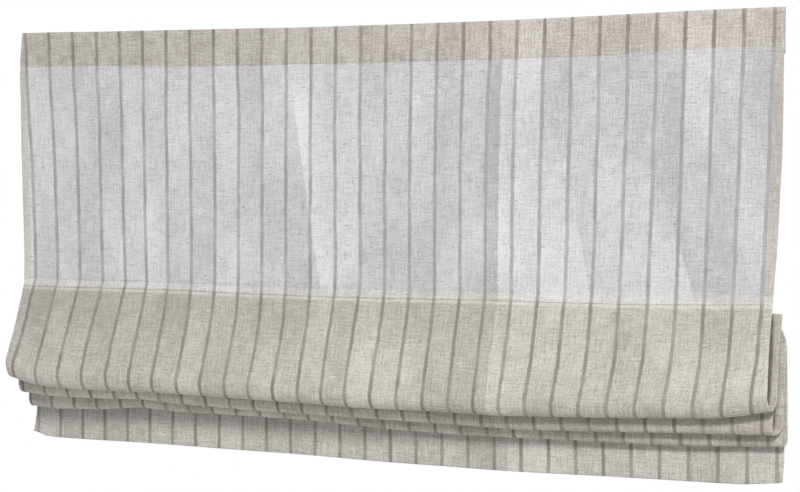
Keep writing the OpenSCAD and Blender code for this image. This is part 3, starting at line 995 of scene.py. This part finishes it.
length_share = (fold_v - fold_v[0]) / fold_length
seam_relief = panel_relief(column_x, float(drops[-1]))
xs = column_x / MM
points = np.zeros((row_count, len(columns), 3))
fold_u = np.zeros(points.shape[:2])
for r, t in enumerate(length_share):
    s = fold_v[r] / MM
    in_front = t < FRONT_SHARE
    front = math.sin(math.pi * t / FRONT_SHARE) if in_front else 0.0
    ripple = front * waves(FRONT_WAVES, xs, s) + waves(FOLD_WAVES, xs, s)
    ridge = (FOLD_RIDGE + FRONT_RIDGE * front) * np.exp(-((xs - FOLD_PRESS_X) / FOLD_PRESS_WIDTH) ** 2)
    loose = min(1.0, max(0.0, stage[r])) * (1 if in_front else BACK_LOOSE)
    push = column_back - (ripple * loose + ridge * loose * (t < PRESS_SHARE)) * MM
    still_panel = min(1.0, max(0.0, 1 - stage[r] / PANEL_HOLD))
    points[r, :, 0] = spread(left_edge[r], right_edge[r])
    points[r, :, 1] = path[r, :, 0] + back[r, :, 0] * push - still_panel * seam_relief
    points[r, :, 2] = path[r, :, 1] + back[r, :, 1] * push
    fold_u[r] = stripe_map(points[r, :, 0], fold_shift(t))
points[0, :, 2] -= SEAM_STEP
next_row = points[:1] + np.array([0, 0, -END_ROW])
fold_points = np.concatenate([points[:1], next_row, points[1:]])
fold_u = np.concatenate([fold_u[:1], fold_u])
fold_v = np.concatenate([fold_v[:1], fold_v[:1] + END_ROW, fold_v[1:]])
folded_cloth = linen_sheet("folded_cloth", fold_points, fold_u, fold_v)
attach(folded_cloth, "stack")
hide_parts("folded_panel")
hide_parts("upper_panel")

# %% [markdown]
# ## Rod pockets
# Each stiffening rod lies in a narrow tube of the same cloth, sewn across the back.
# A plain cylinder would do, but a grid rolled round the rod carries the cloth's map,
# so yarn and stripes run over the pocket too.

# %% Rod pockets
POCKET_R = 3.05 * MM
POCKET_T = 0.5 * MM
POCKET_SIDES = 18
POCKET_COLUMNS = 60
POCKET_HALF = 480 * MM
POCKET_MAP = 0.4
pocket_x = np.linspace(-POCKET_HALF, POCKET_HALF, POCKET_COLUMNS)
pocket_edge = np.full(POCKET_COLUMNS, HALF)
angles = np.linspace(0, 2 * math.pi, POCKET_SIDES + 1)
pocket_v = POCKET_MAP + angles * POCKET_R
pockets = []
for k, (rod_y, rod_z) in enumerate(rods, start=1):
    points = np.zeros((POCKET_SIDES + 1, POCKET_COLUMNS, 3))
    points[:, :, 0] = pocket_x
    points[:, :, 1] = (rod_y + POCKET_R * np.cos(angles))[:, None]
    points[:, :, 2] = (rod_z + POCKET_R * np.sin(angles))[:, None]
    piece = linen_sheet(f"rod_pocket_{k}", points, pocket_x + HALF, pocket_v, pocket_edge, POCKET_T)
    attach(piece, "stack")
    pockets.append(piece)

# %% [markdown]
# ## Thread
# The seam is sewn with a twisted thread, a little darker than the cloth.
# At this size a twist can't be modelled, so fine noise on Object coordinates,
# which stay with a piece as it moves, breaks its colour up.

# %% Thread finish
def object_spot(base):
    return base.make("ShaderNodeTexCoord", {}, out="Object")


linen_thread, thread_shader, thread = start_material("linen_thread")
twist = noise(object_spot(thread), 900.0)
feed(thread_shader, "Base Color", mix(twist, srgb(150, 144, 134), srgb(186, 180, 170)))
feed(thread_shader, "Roughness", 0.7 + twist * 0.2)
print("thread:", linen_thread.name)

# %% [markdown]
# ## Stitches
# One row of stitches closes the first pocket and shows on the front as a dark line.
# The hem is sewn blind, so no row shows there.
# A dashed line in the colour would be flat up close, so each stitch is a short rounded bar
# of thread, slightly sunk into the cloth.

# %% Stitch row on the seam
SEAM_ROW = 10
ROW_MARGIN = 2 * MM
STITCH_PITCH = 3.4 * MM
STITCH_L = 2.6 * MM
STITCH_PROUD = 0.42 * MM
STITCH_WAY = Vector((1, 0, 0.06)).normalized()
THREAD_R = 0.34 * MM
THREAD_SIDES = 6
BODY_SHARE = 0.6
TIP_SHARE = 0.2
TIP_SCALE = 0.45
stitch_turn = Vector((0, 0, 1)).rotation_difference(STITCH_WAY).to_matrix()


def add_stitch(bm, place):
    """A bar along Z with two narrow ends, turned along the seam and moved to its place."""
    bar = {"segments": THREAD_SIDES, "radius1": THREAD_R, "radius2": THREAD_R}
    verts = bmesh.ops.create_cone(bm, cap_ends=True, depth=STITCH_L * BODY_SHARE, **bar)["verts"]
    faces = dict.fromkeys(face for vert in verts for face in vert.link_faces)
    for cap in [face for face in faces if len(face.verts) == THREAD_SIDES]:
        tip = bmesh.ops.extrude_discrete_faces(bm, faces=[cap])["faces"][0]
        middle = tip.calc_center_median()
        out = Vector((0, 0, math.copysign(STITCH_L * TIP_SHARE, middle.z)))
        for vert in tip.verts:
            vert.co = middle + (vert.co - middle) * TIP_SCALE + out
        verts = verts + list(tip.verts)
    for vert in verts:
        vert.co = stitch_turn @ vert.co + place


seam_line = fold_points[SEAM_ROW][column_back == 0]
stitch_x = np.arange(seam_line[0, 0] + ROW_MARGIN, seam_line[-1, 0] - ROW_MARGIN, STITCH_PITCH)
stitch_y = np.interp(stitch_x, seam_line[:, 0], seam_line[:, 1]) - STITCH_PROUD
stitch_z = np.interp(stitch_x, seam_line[:, 0], seam_line[:, 2])
bm = bmesh.new()
for place in zip(stitch_x, stitch_y, stitch_z):
    add_stitch(bm, Vector(place))
for face in bm.faces:
    face.smooth = True
bmesh.ops.recalc_face_normals(bm, faces=bm.faces)
seam_stitches = add_piece("seam_stitches", bm, linen_thread)
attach(seam_stitches, "stack")
print("seam:", len(stitch_x), "stitches")

# %% [markdown]
# ## What the cloth was cut to
# The three stretches are one cloth, cut through where its motion changes.
# The lift's travel and a small gap to the stack give the share of its length that the panel keeps when the stack
# rises.

GATHER_GAP = 0.7 * MM
panel_length = float(drops[0] - drops[-1])
pockets + [seam_stitches]
lift = next(joint for joint in frame["joints"] if joint["name"] == "lift")
travel = lift["range_m"][1]
1 - (travel + GATHER_GAP) / panel_length
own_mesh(upper_cloth)
print("panel", round(panel_length, 3), "m gathers by", travel, "m")

# %% [markdown]
# ## Hard finishes
# Behind the cloth are painted metal, bare steel, moulded plastic and glass fibre.
# A plain colour would look like a drawing. Each finish gets a grain, stretched along a drawn
# piece and even on a moulding, and colour and roughness vary a little, as on handled parts.

# %% Painted, moulded and metal finishes
GRAIN_DEPTH = 0.05 * MM
WEAR_SCALE = 14.0
FINISHES = {
    # Light and dark colour, stretch of the grain along X, its scale, roughness, metal and bump
    "rail_paint": ((240, 240, 237), (229, 229, 226), 1, 900, 0.42, 0.0, 0.12),
    "bracket_steel": ((196, 198, 200), (166, 168, 171), 0.15, 700, 0.38, 1.0, 0.1),
    "shaft_steel": ((178, 181, 185), (146, 149, 153), 0.05, 900, 0.3, 1.0, 0.1),
    "white_plastic": ((238, 238, 233), (226, 226, 221), 1, 1400, 0.55, 0.0, 0.16),
    "rod_fibre": ((226, 222, 206), (206, 201, 184), 0.03, 1200, 0.35, 0.0, 0.08),
    "clear_ring": ((232, 232, 227), (217, 217, 212), 1, 600, 0.3, 0.0, 0.05),
    "bar_aluminium": ((208, 210, 212), (182, 184, 187), 0.04, 800, 0.34, 1.0, 0.1),
}


def grained(name, light, dark, stretch, scale, rough, metal, bump):
    """A finish whose grain is noise stretched along the piece's own axes."""
    material, shader, base = start_material(name)
    spot = object_spot(base)
    drawn = base.make("ShaderNodeMapping", {"Vector": spot, "Scale": (stretch, 1, 1)})
    grain = noise(drawn, scale, 3.0)
    wear = noise(spot, WEAR_SCALE, 3.0)
    share = between(grain * 0.6 + wear * 0.4, 0.25, 0.75)
    feed(shader, "Base Color", mix(share, srgb(*dark), srgb(*light)))
    feed(shader, "Roughness", rough - 0.08 + grain * 0.12 + wear * 0.06)
    bumps = {"Height": grain, "Strength": bump, "Distance": GRAIN_DEPTH}
    feed(shader, "Normal", base.make("ShaderNodeBump", bumps))
    shader.inputs["Metallic"].default_value = metal
    return material


finishes = {name: grained(name, *look) for name, look in FINISHES.items()}
print("finishes:", ", ".join(finishes))

# %% [markdown]
# ## Hook and loop tape
# One tape has stiff hooks and the other soft loops, and the two hold the cloth on the rail.
# Thousands of hooks are too many to model for tapes that hide behind the band.
# Cells give a raised pile instead, smaller and deeper for the hooks.

# %% Tape finishes
def tape_finish(name, light, dark, scale, depth):
    """Woven tape with a raised pile of round cells."""
    material, shader, base = start_material(name)
    spot = object_spot(base)
    pile = base.make("ShaderNodeTexVoronoi", {"Vector": spot, "Scale": scale})
    tufts = noise(spot, 120.0)
    feed(shader, "Base Color", mix(between(pile + tufts * 0.3, 0.2, 0.9), srgb(*light), srgb(*dark)))
    feed(shader, "Roughness", 0.88 + tufts * 0.1)
    bumps = {"Height": 1 - pile, "Strength": 0.6, "Distance": depth}
    feed(shader, "Normal", base.make("ShaderNodeBump", bumps))
    return material


finishes["hook_tape"] = tape_finish("hook_pile", (236, 235, 231), (204, 203, 198), 900, 0.5 * MM)
finishes["loop_tape"] = tape_finish("loop_pile", (233, 231, 226), (206, 203, 196), 650, 0.4 * MM)
print("tapes:", finishes["hook_tape"].name, "and", finishes["loop_tape"].name)

# %% [markdown]
# ## Dress the frame
# The solids already have the right shapes, so the hard pieces are shown as they are.
# The record's slots say which finish each one takes. The two tapes go by their own names,
# because they share one slot but have different piles.

# %% Finishes on the frame's nodes
slots = {part["node"]: part["material_slot"] for part in frame["record"]["subparts"]}
for name, obj in nodes.items():
    finish = finishes.get(name) or finishes.get(slots[name]) or striped_linen
    obj.data.materials.clear()
    obj.data.materials.append(finish)
print("dressed", len(nodes), "nodes")

# %% [markdown]
# ## Lamps
# The picture is lit softly, brighter from the right and from above,
# so the upper side of each fold is light and the one under it lies in shade.
# A sun would draw hard edges. One large lamp gives that light, a weak one fills the left,
# and one behind lifts the back.

# %% Lamps
AIM = Vector((0, -0.05, -0.22))


def soft_lamp(name, place, size, power):
    data = bpy.data.lights.new(name, "AREA")
    data.size = size
    data.energy = power
    lamp = bpy.data.objects.new(name, data)
    lamp.location = place
    lamp.rotation_euler = (AIM - Vector(place)).to_track_quat("-Z", "Y").to_euler()
    bpy.context.scene.collection.objects.link(lamp)


soft_lamp("key_right", (2.0, -2.8, 2.1), 0.8, 128)
soft_lamp("fill_left", (-1.6, -2.6, 0.4), 2.0, 3)
soft_lamp("back_soft", (0.3, 2.2, 1.2), 2.0, 25)
print("lamps:", len(bpy.data.lights))

# %% [markdown]
# ## White room
# The picture is cut out on white. A world that bright would wash the folds out.
# So rays that are seen, directly or in a gloss, meet pure white,
# and the light that falls on the cloth comes from a much dimmer sky.

# %% World
SKY = (0.97, 0.98, 1.0, 1)
SKY_STRENGTH = 0.27
world = bpy.data.worlds.new("white_room")
bpy.context.scene.world = world
world.use_nodes = True
tree = world.node_tree
tree.nodes.clear()
room = Tone(tree)
rays = [f"Is {kind} Ray" for kind in ("Camera", "Glossy", "Transmission")]
camera_ray, glossy_ray, clear_ray = [room.make("ShaderNodeLightPath", {}, out=ray) for ray in rays]
seen = room.maths("MAXIMUM", room.maths("MAXIMUM", camera_ray, glossy_ray), clear_ray)
soft = room.make("ShaderNodeBackground", {"Color": SKY, "Strength": SKY_STRENGTH})
white = room.make("ShaderNodeBackground", {"Color": (1, 1, 1, 1), "Strength": 1.0})
both = room.make("ShaderNodeMixShader", {0: seen, 1: soft, 2: white})
output = tree.nodes.new("ShaderNodeOutputWorld")
tree.links.new(both.socket, output.inputs["Surface"])
print("world:", world.name)

# %% [markdown]
# ## Floor
# The blind hangs, so no shadow lies right below it in the picture.
# A wide pale disc far down gives the views from above a ground to read the height by.
# It takes a soft shadow and is no part of the blind.

# %% Floor
FLOOR_DROP = 1.5
FLOOR_R = 2.6
pale_floor, floor_shader, floor_base = start_material("pale_floor")
mottle = noise(object_spot(floor_base), 3.0)
feed(floor_shader, "Base Color", mix(mottle, srgb(244, 244, 243), srgb(238, 238, 237)))
floor_shader.inputs["Roughness"].default_value = 0.9
bm = bmesh.new()
bmesh.ops.create_circle(bm, cap_ends=True, segments=96, radius=FLOOR_R)
bmesh.ops.translate(bm, verts=bm.verts, vec=(0, 0, -FLOOR_DROP))
floor = add_piece("pale_floor", bm, pale_floor)
bpy.context.scene.view_settings.view_transform = "Standard"
print("floor", FLOOR_DROP, "m below the screws")
